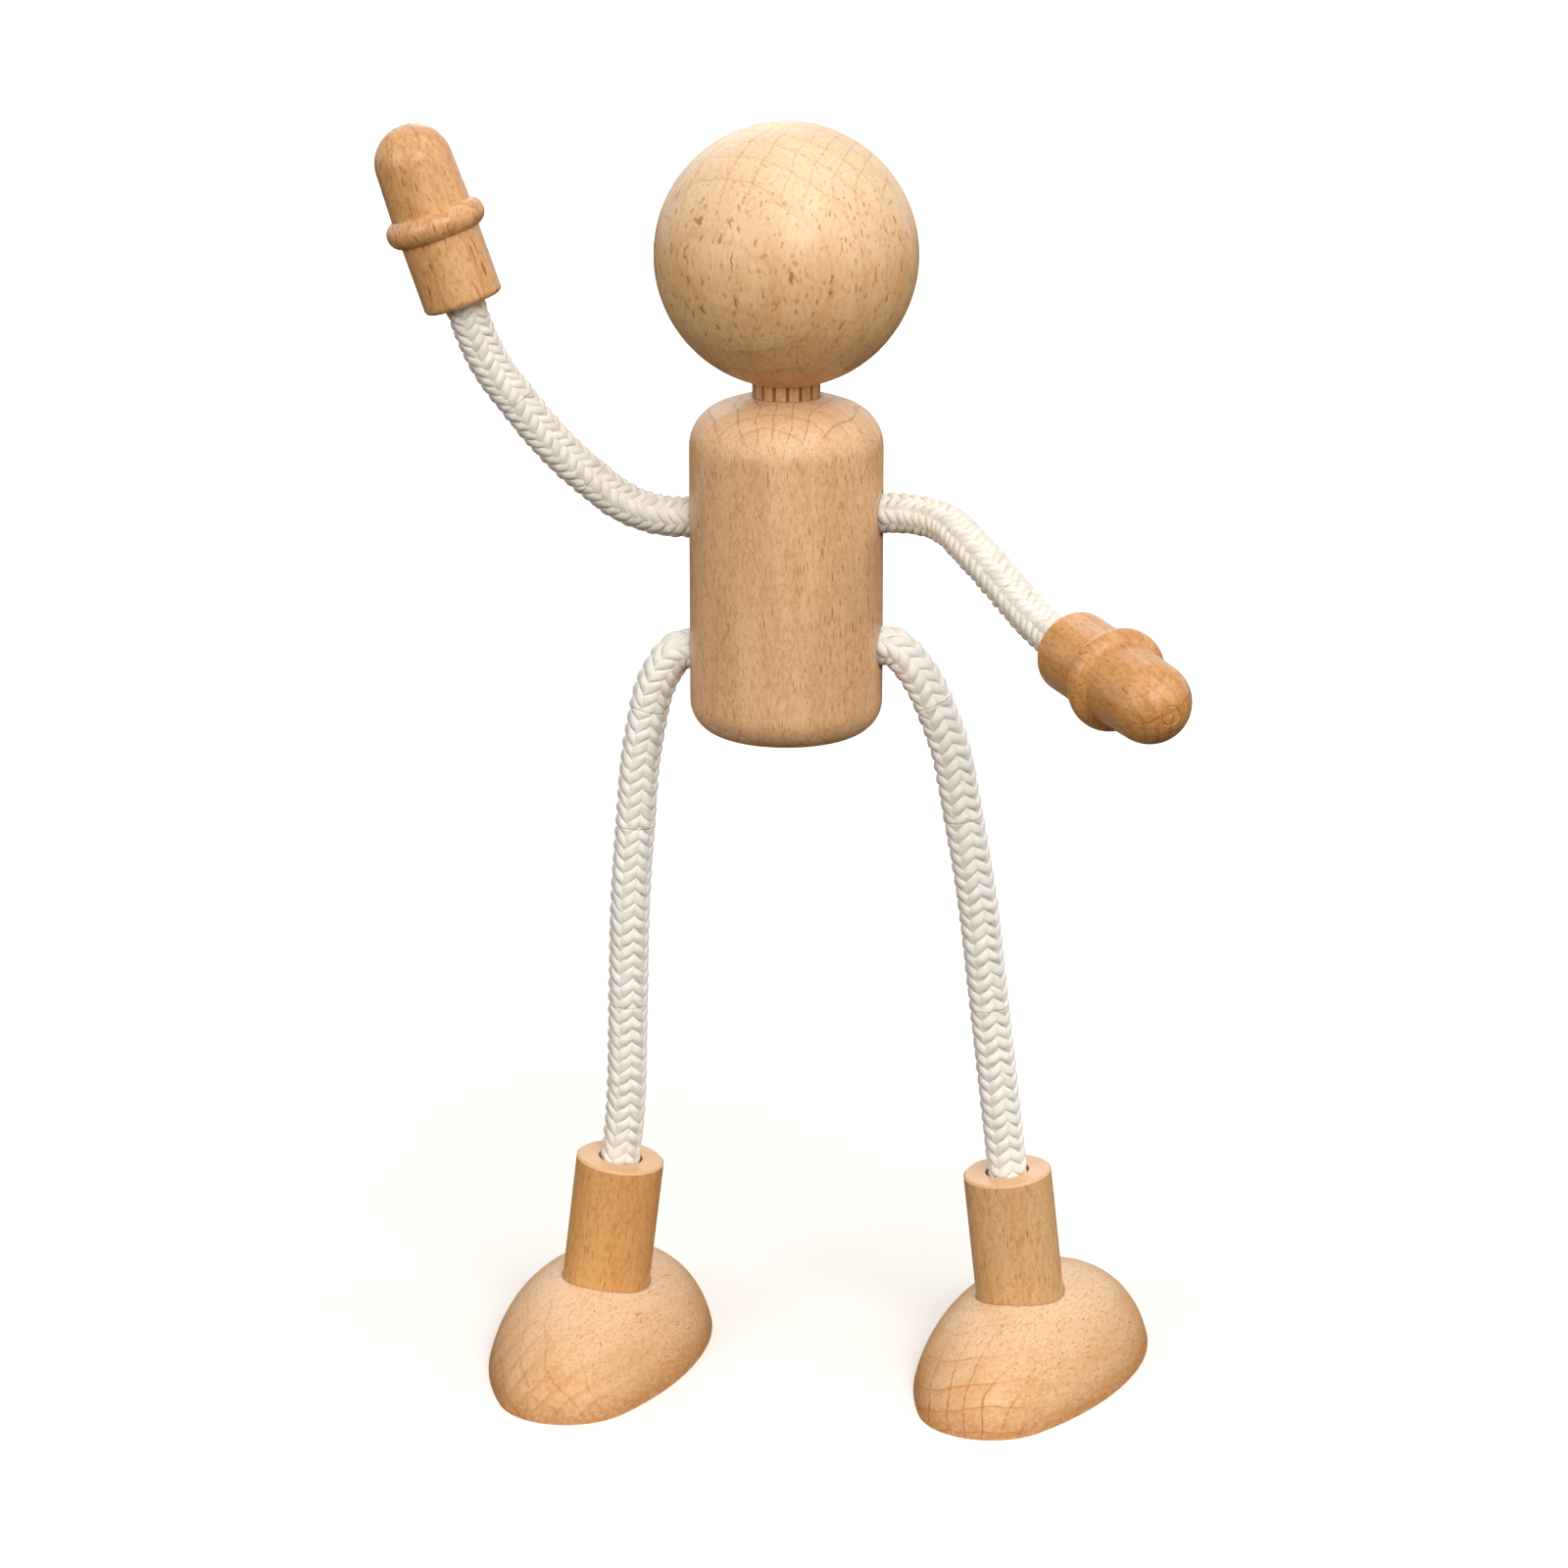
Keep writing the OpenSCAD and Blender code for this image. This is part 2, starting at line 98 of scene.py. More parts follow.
turn = math.radians(VIEW_TURN)
aim = Vector((AXIS_X + AIM_SIDE * math.cos(turn), AXIS_Y + AIM_SIDE * math.sin(turn), AIM_Z))
camera = camera_at(VIEW_TURN, VIEW_DOWN, VIEW_FAR, aim)
bpy.context.scene.camera = camera
print("camera at", [round(v, 3) for v in camera.location])

# %% [markdown]
# Soft studio light comes from five large lamps. The strongest stands high in front, a little
# to the right of the picture, and weaker ones stand on the right, in front on the left,
# above and behind. So the left sides and the undersides are darker, and no shadow is black.

# %% Lamps
scene = bpy.context.scene
scene.view_settings.view_transform = "Standard"
LOOK_AT = Vector((0, 0, 0.13))
WARM = (1.0, 0.99, 0.98)
PLAIN = (1.0, 1.0, 1.0)
LAMPS = [
    ("key", (0.8, -1.8, 1.5), 1.4, 31.0, WARM),
    ("side", (1.3, -0.3, 0.6), 0.8, 3.0, WARM),
    ("front", (-1.3, -1.6, 0.9), 1.0, 13.0, WARM),
    ("top", (0.4, -0.3, 1.6), 1.6, 10.5, PLAIN),
    ("back", (-0.6, 1.8, 1.2), 1.2, 6.0, WARM),
]


def add_lamp(name, place, size, power, colour):
    """A square soft lamp that faces the middle of the figure."""
    data = bpy.data.lights.new(name, "AREA")
    data.shape = "SQUARE"
    data.size = size
    data.energy = power
    data.color = colour
    lamp = bpy.data.objects.new(name, data)
    scene.collection.objects.link(lamp)
    lamp.location = place
    away = Vector(place) - LOOK_AT
    lamp.rotation_euler = away.to_track_quat("Z", "Y").to_euler()


for settings in LAMPS:
    add_lamp(*settings)
print(len(LAMPS), "lamps")

# %% [markdown]
# Every material is a small network of nodes. The helpers here give the nodes short names,
# so that a finish reads like a recipe: this noise, that ramp, these two colours mixed.

# %% Node helpers
NORMAL = 1
OBJECT = 3


def srgb(r, g, b):
    """A colour as a picture holds it, 0 to 255, as the shader wants it."""
    out = []
    for c in (r, g, b):
        c = c / 255
        out.append(c / 12.92 if c <= 0.04045 else ((c + 0.055) / 1.055) ** 2.4)
    return (*out, 1.0)


class Nodes:
    """Short names for building the nodes of a material or of the world."""

    def __init__(self, owner):
        self.owner = owner
        owner.use_nodes = True
        self.tree = owner.node_tree

    def put(self, value, socket):
        """Links a node's output, or sets a plain value."""
        if isinstance(value, bpy.types.NodeSocket):
            self.tree.links.new(value, socket)
        else:
            socket.default_value = value

    def node(self, kind, output=0, settings=(), **inputs):
        """One output of a new node. An input is given by name, or as i0 by its number."""
        n = self.tree.nodes.new(kind)
        for key, value in settings:
            setattr(n, key, value)
        for key, value in inputs.items():
            key = int(key[1:]) if key[0] == "i" and key[1:].isdigit() else key
            self.put(value, n.inputs[key])
        return n.outputs[output]

    def math(self, operation, a, b=0.0):
        """One arithmetic step."""
        return self.node("ShaderNodeMath", settings=[("operation", operation)], i0=a, i1=b)

    def times(self, a, b):
        """Two values multiplied."""
        return self.math("MULTIPLY", a, b)

    def ramp(self, value, low, high, to_low=0.0, to_high=1.0, kind="SMOOTHSTEP"):
        """Maps low to high onto two new values, smoothly unless kind says otherwise."""
        names = {"Value": value, "From Min": low, "From Max": high}
        names.update({"To Min": to_low, "To Max": to_high})
        settings = [("interpolation_type", kind)]
        return self.node("ShaderNodeMapRange", settings=settings, **names)

    def mix(self, share, a, b):
        """Blends two colours."""
        settings = [("data_type", "RGBA")]
        return self.node("ShaderNodeMix", 2, settings, i0=share, i6=a, i7=b)

    def scaled(self, vector, scale, place=(0, 0, 0), turned=(0, 0, 0)):
        """Coordinates scaled, turned and moved, in this order."""
        names = {"Vector": vector, "Scale": scale, "Location": place, "Rotation": turned}
        return self.node("ShaderNodeMapping", **names)

    def split(self, vector):
        """The three coordinates of a vector."""
        n = self.tree.nodes.new("ShaderNodeSeparateXYZ")
        self.put(vector, n.inputs[0])
        return n.outputs

    def join(self, x, y, z):
        """A vector from its three coordinates."""
        return self.node("ShaderNodeCombineXYZ", i0=x, i1=y, i2=z)

    def noise(self, vector, detail=2.0, rough=0.5, output=0):
        """Smooth noise around 0.5."""
        names = {"Vector": vector, "Scale": 1.0, "Detail": detail, "Roughness": rough}
        return self.node("ShaderNodeTexNoise", output, **names)

    def cells(self, vector):
        """The distance to the nearest of many scattered points, about one apart."""
        return self.node("ShaderNodeTexVoronoi", Vector=vector, Scale=1.0, Randomness=1.0)

    def round_about(self, vector):
        """Distance from the z axis."""
        x, y, z = self.split(vector)
        return self.math("SQRT", self.math("ADD", self.times(x, x), self.times(y, y)))

    def bump(self, height, distance):
        """A bump of the given height in metres."""
        return self.node("ShaderNodeBump", Height=height, Distance=distance, Strength=1.0)

    def finish(self, **inputs):
        """Sets the shader's sockets and hands the material back."""
        shader = self.tree.nodes["Principled BSDF"]
        for key, value in inputs.items():
            self.put(value, shader.inputs[key.replace("_", " ")])
        return self.owner


# %% [markdown]
# The photograph has a white ground. A white room would light the figure from all sides and
# take its shadows away, so only the camera and what it sees in gloss finds the room white.
# All other rays find a weak warm light.

# %% Room
WHITE = (1.0, 1.0, 1.0, 1.0)
ROOM_LIGHT = (0.34, 0.3, 0.25, 1.0)
SHOWN = ("Is Camera Ray", "Is Glossy Ray", "Is Transmission Ray")


def seen_share(m, names):
    """1 for the kinds of ray that should find white, 0 for the others."""
    path = m.tree.nodes.new("ShaderNodeLightPath")
    total = path.outputs[names[0]]
    for name in names[1:]:
        total = m.math("MAXIMUM", total, path.outputs[name])
    return total


room = Nodes(bpy.data.worlds.new("surround"))
scene.world = room.owner
shade = room.mix(seen_share(room, SHOWN), ROOM_LIGHT, WHITE)
room.put(shade, room.tree.nodes["Background"].inputs["Color"])
print("room light", ROOM_LIGHT[:3])

# %% [markdown]
# The floor is pale paper that keeps the figure's soft shadow. Like the room, it is almost
# white to the camera and throws back only a little warm light. It also glows to the camera,
# more and more with the distance, so that no edge shows where the paper meets the room.

# %% Floor
FLOOR_HALF = 4.0
PAPER_SEEN = (0.95, 0.95, 0.95, 1.0)
PAPER_BOUNCE = (0.1, 0.085, 0.06, 1.0)
GLOW_STARTS = 0.12
GLOW_FULL = 1.2
GLOW_LEAST = 0.12
GLOW_MOST = 1.0

floor_mesh = bpy.data.meshes.new("floor")
bm = bmesh.new()
bmesh.ops.create_grid(bm, x_segments=1, y_segments=1, size=FLOOR_HALF)
bm.to_mesh(floor_mesh)
bm.free()
floor = bpy.data.objects.new("floor", floor_mesh)
scene.collection.objects.link(floor)
paper = Nodes(bpy.data.materials.new("paper"))
seen = seen_share(paper, ("Is Camera Ray",))
spot = paper.node("ShaderNodeTexCoord", OBJECT)
away = paper.node("ShaderNodeVectorMath", 1, [("operation", "LENGTH")], i0=spot)
glow = paper.ramp(away, GLOW_STARTS, GLOW_FULL, GLOW_LEAST, GLOW_MOST, "LINEAR")
tint = paper.mix(seen, PAPER_BOUNCE, PAPER_SEEN)
paper.finish(Base_Color=tint, Roughness=1.0, Specular_IOR_Level=0.0,
             Emission_Color=WHITE, Emission_Strength=paper.times(seen, glow))
floor_mesh.materials.append(paper.owner)
print("floor", 2 * FLOOR_HALF, "m wide")

# %% [markdown]
# Each rope keeps the curve that it is bent to. Its route is a row of straight stretches and
# arcs: the direction it turns in, the angle that it turns by and its length in millimetres.
# These are the numbers of the CAD solids, so the braid lies where they are.

# %% The ropes' routes
ARM_HOLE_Z = 173.5
LEG_HOLE_Z = 147.6
HOLE_TILT = 2.6
RIGHT = -1
LEFT = 1
ROUTES = {
    "arm_right": [(0, 0, 1.5), (180, 42, 16), (0, 0, 6), (180, 12.5, 14), (0, 0, 7),
                  (180, 19, 14), (0, 0, 4)],
    "arm_left": [(0, 0, 1.5), (-74, 62, 16), (0, 0, 6), (40, 16, 14), (0, 0, 7),
                 (-160, 20.5, 14), (0, 0, 4)],
    "leg_right": [(0, 0, 0.3), (0, 49.4, 3.966), (0, 26, 10), (0, 0, 3), (0, 7.5, 14),
                  (0, 0, 17), (0, 3, 14), (0, 0, 28.838), (180, 5.5, 14), (0, 0, 4)],
    "leg_left": [(0, 0, 0.3), (0, 48.6, 3.902), (0, 21, 10), (0, 0, 3), (0, 13, 14),
                 (0, 0, 17), (0, 3.5, 14), (0, 0, 32.776), (0, 0.3, 14), (0, 0, 4)],
}
SWING = {"arm_right": 0.0, "arm_left": 0.0, "leg_right": -0.7, "leg_left": 1.5}
HOLE_DEPTH = {"arm": 14.0, "leg": 22.0}
LONGEST_HOLE = 50.0


def spin_z(a):
    """A turn about z, in degrees, as a 3 by 3 array."""
    return np.array(Matrix.Rotation(math.radians(a), 3, "Z"))


def spin_y(a):
    """A turn about y, in degrees, as a 3 by 3 array."""
    return np.array(Matrix.Rotation(math.radians(a), 3, "Y"))


def lay_out(side, z, swing, stretches):
    """Where each stretch starts: distance along, place, axes, and the stretch itself."""
    tilted = spin_y(-HOLE_TILT)
    place = np.array([AXIS_X / MM, AXIS_Y / MM, z])
    place = place + tilted @ np.array([side * BODY_R / MM, 0, 0])
    axes = spin_y(90) if side == LEFT else spin_z(180) @ spin_y(90)
    axes = tilted @ axes @ spin_z(swing)
    along = 0.0
    laid = []
    for way, angle, length in stretches:
        laid.append((along, place, axes, way, angle, length))
        along += length
        if angle == 0:
            place = place + axes[:, 2] * length
            continue
        a = math.radians(angle)
        r = length / a
        turned = axes @ spin_z(way)
        place = place + turned @ np.array([r * (1 - math.cos(a)), 0, r * math.sin(a)])
        axes = turned @ spin_y(angle) @ spin_z(-way)
    laid.append((along, place, axes, 0, 0, LONGEST_HOLE))
    return laid


LAID = {}
for limb, stretches in ROUTES.items():
    side = RIGHT if limb.endswith("right") else LEFT
    height = ARM_HOLE_Z if limb.startswith("arm") else LEG_HOLE_Z
    LAID[limb] = lay_out(side, height, SWING[limb], stretches)
    print(limb, "shows", round(LAID[limb][-1][0], 1), "mm of rope")


# %% Points along a route
def on_route(laid, s, x, y):
    """Points that lie x and y off the middle of the rope, at distances s along it."""
    out = np.zeros((len(s), 3))
    starts = [stretch[0] for stretch in laid]
    starts[0] = -math.inf
    ends = starts[1:] + [math.inf]
    for (start, place, axes, way, angle, length), first, last in zip(laid, starts, ends):
        here = (s >= first) & (s < last)
        t = s[here] - start
        if angle == 0:
            local = np.stack([x[here], y[here], t], 1)
            out[here] = place + local @ axes.T
            continue
        r = length / math.radians(angle)
        c = math.cos(math.radians(way))
        w = math.sin(math.radians(way))
        inward = x[here] * c + y[here] * w
        across = y[here] * c - x[here] * w
        a = t / r
        local = np.stack([r - (r - inward) * np.cos(a), across, (r - inward) * np.sin(a)], 1)
        out[here] = place + local @ (axes @ spin_z(way)).T
    return out


# %% [markdown]
# The rope is a round braid of sixteen strands. Eight wind one way and eight the other, and
# each goes over two and under two. So the strands that lie on top stand in eight columns
# round the rope, slanting left and right by turns, and two columns together look like a
# row of Vs. Each strand here is one tube, closed at its ends. Its cross-section is wide and
# low, and a cosine of the angle round the rope lifts it over two strands and sinks it under
# two. The cotton is soft, so a strand swells where it lies on top, is pinched where another
# one crosses it, and lies flatter on top than where it dives. Small slow waves make it
# stray and puff, so that no two look alike. A plain round core fills the middle. Lengths
# are in millimetres, and the lean, the half width and the stray are in degrees round the
# rope. The arm rope's strands are packed closer than the leg rope's, as in the photograph.

# %% Strands
STRANDS = 8
OVERS = STRANDS // 2
PITCH = {"arm": 2.1, "leg": 2.6}
LEAN = 5.0
LIE_R = 3.13
WAVE = 0.3
THICK = 0.52
HALF_WIDTH = 29.0
SWELL = 0.15
CORE_R = 2.9
STRAY = ((2.2, 0.55, 1.9), (1.8, 1.3, 2.7))
PUFF = ((0.12, 0.9, 2.3), (0.1, 2.1, 1.1))


def ripple(waves, s, tube):
    """Small waves along the strands. Each has a size, how often it comes, and a shift."""
    return sum(size * np.sin(often * s + shift * tube) for size, often, shift in waves)


def strand_points(s, ring, tube, pitch, phase):
    """The angle round the rope, in radians, and the distance from its middle."""
    hand = np.where(tube < STRANDS, 1.0, -1.0)
    lead = pitch * STRANDS
    middle = 360 / STRANDS * tube + hand * 360 * s / lead
    lean = hand * LEAN * np.sin(OVERS * np.radians(middle - phase))
    middle = middle + lean + ripple(STRAY, s, tube)
    on_top = hand * np.cos(OVERS * np.radians(middle - phase))
    wide = HALF_WIDTH * (1 + SWELL * on_top)
    round_at = np.radians(middle + wide * np.cos(ring))
    lift = np.cos(OVERS * (round_at - math.radians(phase)))
    fat = THICK * (1 + ripple(PUFF, s, tube)) * (1 + 0.5 * SWELL * on_top)
    r = LIE_R + hand * WAVE * lift + fat * np.sin(ring)
    core = tube == 2 * STRANDS
    return np.where(core, ring, round_at), np.where(core, CORE_R, r)


# %% Braid
RINGS_PER_MM = 2.6
AROUND = 12
UV_LENGTH = 10.0
MERGE = 1e-7


def braid(name, laid, start, end, pitch, phase):
    """The braided rope between two distances along its route, as one mesh."""
    rings = max(4, round((end - start) * RINGS_PER_MM))
    tubes = 2 * STRANDS + 1
    bm = bmesh.new()
    uv = bm.loops.layers.uv.new("strand")
    for tube in range(tubes):
        bmesh.ops.create_grid(bm, x_segments=rings, y_segments=AROUND, size=1.0)
    bm.verts.ensure_lookup_table()
    flat = np.array([v.co for v in bm.verts])
    tube = np.repeat(np.arange(tubes), len(flat) // tubes)
    core = tube == 2 * STRANDS
    s = start + (flat[:, 0] + 1) / 2 * (end - start)
    ring = (flat[:, 1] + 1) * math.pi
    round_at, r = strand_points(s, ring, tube, pitch, phase)
    places = on_route(laid, s, r * np.cos(round_at), r * np.sin(round_at)) * MM
    top = np.where(core, 0.0, (r - LIE_R + WAVE) / (2 * WAVE + THICK))
    across = np.where(core, 0.5, 0.5 + 0.5 * np.cos(ring))
    for v, p in zip(bm.verts, places):
        v.co = p
    for face in bm.faces:
        for loop in face.loops:
            i = loop.vert.index
            loop[uv].uv = (tube[i] + across[i], s[i] / UV_LENGTH)
        face.smooth = True
    rise = bm.verts.layers.float.new("rise")
    for v, t in zip(bm.verts, top):
        v[rise] = t
    bmesh.ops.remove_doubles(bm, verts=bm.verts, dist=MERGE)
    ends = [e for e in bm.edges if e.is_boundary]
    bmesh.ops.holes_fill(bm, edges=ends, sides=0)
    bmesh.ops.recalc_face_normals(bm, faces=bm.faces)
    mesh = bpy.data.meshes.new(name)
    bm.to_mesh(mesh)
    bm.free()
    piece = bpy.data.objects.new(name, mesh)
    scene.collection.objects.link(piece)
    return piece


# %% [markdown]
# A rope bends at its joints, so it is one braided piece for each joint. Two pieces meet in
# the middle of the straight stretch between their bends, where both lie still. The strands
# go on across the meeting place, because each is a formula of the distance along the rope.

# %% Arms and legs
INSIDE = 6.0
JOINTS = {
    "arm": [(1, "torso", "upper_arm", "shoulder"), (3, "upper_arm", "forearm", "elbow"),
            (5, "forearm", "hand", "wrist")],
    "leg": [(2, "torso", "hip", "hip"), (4, "hip", "thigh", "thigh"),
            (6, "thigh", "shin", "knee"), (8, "shin", "foot", "ankle")],
}
NODES = {
    "shoulder": ["shoulder_bend"], "elbow": ["upper", "elbow_bend"],
    "wrist": ["fore", "wrist_bend", "end"], "hip": ["exit", "hip_bend"],
    "thigh": ["hip", "thigh_bend"], "knee": ["thigh", "knee_bend"],
    "ankle": ["shin", "ankle_bend", "end"],
}
PHASE = {"arm_right": 10.0, "arm_left": 0.0, "leg_right": 0.0, "leg_left": 0.0}


def middle_of(laid, n):
    """The distance along the rope of the middle of stretch n."""
    return laid[n][0] + laid[n][5] / 2


rope_pieces = []
for limb, laid in LAID.items():
    kind, side_name = limb.split("_")
    joints = JOINTS[kind]
    for n, parent, child, joint in joints:
        first = -INSIDE if parent == "torso" else middle_of(laid, n - 1)
        last = middle_of(laid, n + 1)
        if n == joints[-1][0]:
            last = laid[-1][0] + HOLE_DEPTH[kind]
        name = limb + "_" + joint + "_braid"
        piece = braid(name, laid, first, last, PITCH[kind], PHASE[limb])
        zone = np.array([laid[n][0], laid[n + 1][0]])
        points = on_route(laid, zone, np.zeros(2), np.zeros(2)) * MM
        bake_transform(piece)
        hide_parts(*[limb + "_" + node for node in NODES[joint]])
        rope_pieces.append(piece)
print(len(rope_pieces), "pieces that bend")

# %% The ropes inside the body
for kind in ("arm", "leg"):
    laid = LAID[kind + "_right"]
    across = -2 * BODY_R / MM + INSIDE
    phase = PHASE[kind + "_right"]
    inner = braid(kind + "_rope_inside", laid, across, -INSIDE, PITCH[kind], phase)
    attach(inner, "torso")
    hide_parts(kind + "_rope_core")
    rope_pieces.append(inner)
faces = sum(len(p.data.polygons) for p in rope_pieces)
print(len(rope_pieces), "braided pieces,", faces, "faces")

# %% [markdown]
# Cotton is matt and off-white. Fine fibres run along each strand, and the dips between the
# strands are painted beige as shade. The braid's own map of where each strand runs carries
# the fibres, and the height that was stored on it finds the dips.


# %% Rope finish
def cotton(name, shade, bright):
    """Off-white braided cotton, whose strands run from one tone to the other."""
    m = Nodes(bpy.data.materials.new(name))
    uv = m.node("ShaderNodeUVMap", settings=[("uv_map", "strand")])
    rise = m.node("ShaderNodeAttribute", 2, [("attribute_name", "rise")])
    fibre = m.noise(m.scaled(uv, (16.0, 5.0, 1.0)), 3.0, 0.6)
    strand = m.noise(m.scaled(uv, (1.0, 0.35, 1.0)), 1.0)
    cream = m.mix(m.ramp(strand, 0.35, 0.65), shade, bright)
    streaked = m.mix(m.ramp(fibre, 0.35, 0.7, 0.0, 0.3), cream, srgb(236, 227, 210))
    # Painted shade in the dips between the strands.
    dip_shade = m.ramp(rise, 0.2, 0.68, 1.0, 0.0)
    colour = m.mix(dip_shade, streaked, srgb(223, 213, 195))
    return m.finish(Base_Color=colour, Roughness=0.88, Sheen_Weight=0.2,
                    Specular_IOR_Level=0.25, Normal=m.bump(fibre, 0.00006))


# The arm rope is painted a darker cream as painted shade and the leg rope a brighter one as
# painted light, because the lamps light the arms more than the legs.
ROPE_FINISH = {
    "arm": cotton("arm_cotton", srgb(231, 225, 213), srgb(242, 239, 232)),
    "leg": cotton("leg_cotton", srgb(249, 246, 239), srgb(254, 253, 250)),
}
for piece in rope_pieces:
    piece.data.materials.append(ROPE_FINISH[piece.name.split("_")[0]])
print("two tones of cotton")

# %% [markdown]
# Beech is modelled as a tree grows it. Growth rings lie round the pith, and rays run out
# from it: thin, tall sheets. So each piece only needs to say which way its grain runs and
# where the pith was, in millimetres from the middle of the piece. A slow drift keeps the
# rings from being perfect circles. Where the surface cuts across the grain, its normal
# points along it, and that share is called the end grain.

# %% Wood coordinates
PER_METRE = 1000
IN_MM = (PER_METRE, PER_METRE, PER_METRE)
RING_DRIFT = (0.06, 0.06, 0.02)
DRIFT_BY = (6.0, 6.0, 0.0)
LEAST_REACH = 20.0


class Wood(Nodes):
    """Nodes in the coordinates of the tree that a piece was cut from, in millimetres."""

    def __init__(self, name, centre, turn, pith):
        super().__init__(bpy.data.materials.new(name))
        self.turn = turn
        self.place = self.node("ShaderNodeTexCoord", OBJECT)
        self.normal = self.node("ShaderNodeTexCoord", NORMAL)
        back = turn @ Vector(centre)
        move = (-back.x - pith[0], -back.y - pith[1], -back.z)
        self.wood = self.scaled(self.place, IN_MM, move, turn.to_euler())
        drift = self.patches(RING_DRIFT, output=1)
        settings = [("operation", "MULTIPLY_ADD")]
        shift = {"i0": drift, "i1": DRIFT_BY, "i2": self.wood}
        warped = self.node("ShaderNodeVectorMath", settings=settings, **shift)
        x, y, self.z = self.split(warped)
        self.far = self.round_about(warped)
        reach = max(LEAST_REACH, math.hypot(*pith))
        self.around = self.times(self.math("ARCTAN2", y, x), reach)
        grain = turn.inverted() @ Vector((0, 0, 1))
        settings = [("operation", "DOT_PRODUCT")]
        facing = self.node("ShaderNodeVectorMath", 1, settings, i0=self.normal, i1=grain)
        self.end_grain = self.ramp(self.math("ABSOLUTE", facing), 0.2, 0.75)

    def patches(self, scale, detail=2.0, rough=0.5, output=0):
        """Noise with the given number of patches in a millimetre, in each direction."""
        return self.noise(self.scaled(self.wood, scale), detail, rough, output)

    def seen_from(self, at, turn):
        """Coordinates in millimetres from a point, with the given turn."""
        return self.scaled(self.place, IN_MM, -(turn @ Vector(at)), turn.to_euler())


# %% [markdown]
# A ring is pale in spring and darkens to a thin line at the end of its year. A ray that is
# cut along the ring shows as one of the short dark flecks that tell beech from other woods.
# They are made as scattered cells, pulled out along the grain: the numbers say how many
# lie in a millimetre round the pith, along the grain and outwards. Cut across the grain,
# the rays are lines that fan out from the pith, and with the rings they make a net. On the
# feet some fields of that net are darker than others.


# %% Rings
YEAR_END = 0.95


def ring_marks(m, ring, contours):
    """The darker late part of each ring, and the thin line that ends it."""
    year = m.math("FRACT", m.math("DIVIDE", m.far, ring))
    late = m.times(m.ramp(year, 0.5, 0.93), m.ramp(year, YEAR_END, 1.0, 1.0, 0.0))
    late = m.times(late, m.ramp(m.end_grain, 0.0, 1.0, 0.4, 1.0))
    off = m.math("ABSOLUTE", m.math("SUBTRACT", year, YEAR_END))
    border = m.ramp(off, 0.0, 1.0 - YEAR_END, 1.0, 0.0)
    return late, m.times(border, m.ramp(m.end_grain, 0.0, 1.0, contours, 0.7))


# %% Flecks
LONG_FLECKS = (1.9, 0.19, 1.4)
SHORT_FLECKS = (2.0, 0.7, 1.6)
FLECK_BEND = (0.5, 0.5, 0.35)
FLECK_FADE = (0.3, 0.3, 0.12)


def scattered(m, round_at, number, size):
    """Cells of the given number in a millimetre, and made larger by size."""
    share = [n * (1 / size) for n in number]
    return m.cells(m.join(m.times(round_at, share[0]), m.times(m.z, share[1]),
                          m.times(m.far, share[2])))


def ray_flecks(m, size):
    """Long thin flecks and shorter ones between them."""
    wavy = m.math("ADD", m.around, m.times(m.patches(FLECK_BEND), 1.2 * size))
    fade = m.times(m.patches(FLECK_FADE, 1.0), 0.26)
    tall = m.math("SUBTRACT", scattered(m, wavy, LONG_FLECKS, size), fade)
    tall = m.ramp(tall, 0.0, 0.1, 1.0, 0.0)
    short = m.ramp(scattered(m, wavy, SHORT_FLECKS, size), 0.12, 0.32, 0.6, 0.0)
    dash = m.math("MAXIMUM", tall, short)
    return m.times(dash, m.ramp(m.end_grain, 0.3, 1.0, 1.0, 0.45))


# %% Lines and fields
LINE_DRIFT = (0.07, 0.07, 0.02)


def ray_lines(m, gap, mottle):
    """Lines that fan out from the pith, gap millimetres apart."""
    slow = m.patches(LINE_DRIFT, 1.0)
    sheet = m.math("ADD", m.times(m.around, 1 / gap), m.times(slow, 2.0))
    sheet = m.math("ABSOLUTE", m.math("SUBTRACT", m.math("FRACT", sheet), 0.5))
    line = m.ramp(sheet, 0.0, 0.09, 1.0, 0.0)
    line = m.times(line, m.ramp(mottle, 0.35, 0.55, 0.4, 1.0))
    return m.times(line, m.ramp(m.end_grain, 0.0, 1.0, 0.06, 1.0))


def net_fields(m, gap, ring, plaid):
    """Fields between two lines and two rings, some darker than others."""
    field = m.join(m.math("FLOOR", m.math("DIVIDE", m.around, gap)),
                   m.math("FLOOR", m.math("DIVIDE", m.far, ring)), 0.5)
    tone = m.ramp(m.noise(m.scaled(field, (0.7, 0.7, 1.0)), 0.0), 0.35, 0.65)
    return m.times(tone, m.times(m.end_grain, plaid))


# %% [markdown]
# Where two pieces are glued or a rope goes in, a thin line of painted shade runs round the
# joint, where shade falls between the parts. The grooves of the neck's flutes get painted
# shade too.


# %% Joint lines
# Painted shade: a dark line round each joint, where shade falls between the parts.
JOINT_PAINTED_SHADE = srgb(96, 58, 30)
# Painted shade in the grooves of the neck's flutes.
FLUTE_PAINTED_SHADE = srgb(112, 70, 38)


def upright(axes):
    """The turn that brings the z axis of the given axes upright."""
    return Matrix(axes.tolist()).inverted()


def near_joint(m, joint, inner, outer):
    """1 at the round line where a joint meets the surface, falling to 0 outside it."""
    at, turn, radius, reach = joint
    local = m.seen_from(at, turn)
    off = m.math("SUBTRACT", m.round_about(local), radius)
    along = m.math("ABSOLUTE", m.split(local)[2])
    edge = m.ramp(off, inner, outer, 1.0, 0.0)
    return m.times(edge, m.ramp(along, reach, reach + 2, 1.0, 0.0))


